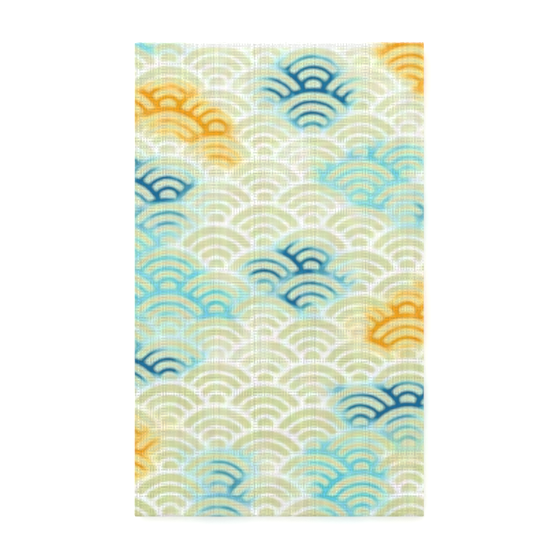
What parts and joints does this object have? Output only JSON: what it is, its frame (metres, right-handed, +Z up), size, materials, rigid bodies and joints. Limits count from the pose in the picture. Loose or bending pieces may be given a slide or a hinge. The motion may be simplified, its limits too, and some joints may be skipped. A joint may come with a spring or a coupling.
{
  "type": "folded tenugui towel",
  "caption": "Plain-woven cotton hand towel folded into a thin flat rectangular pile, dyed with overlapping wave scales and soft coloured clouds, which lies on a shelf or table.",
  "frame": {"origin": "middle of the underside, on the surface that the pile lies on", "axes": "+X across the pile, +Y along it, from the fold of the top layer towards its cut end, +Z up out of the face"},
  "size_m": [0.11, 0.18, 0.0071],
  "materials": {
    "cotton": "matt plain-woven cotton, pale yellow-green wave scales on white, with outlines dyed orange, deep blue and light blue in soft clouds"
  },
  "bodies": {
    "root": {"towel": "cotton"}
  },
  "joints": []
}
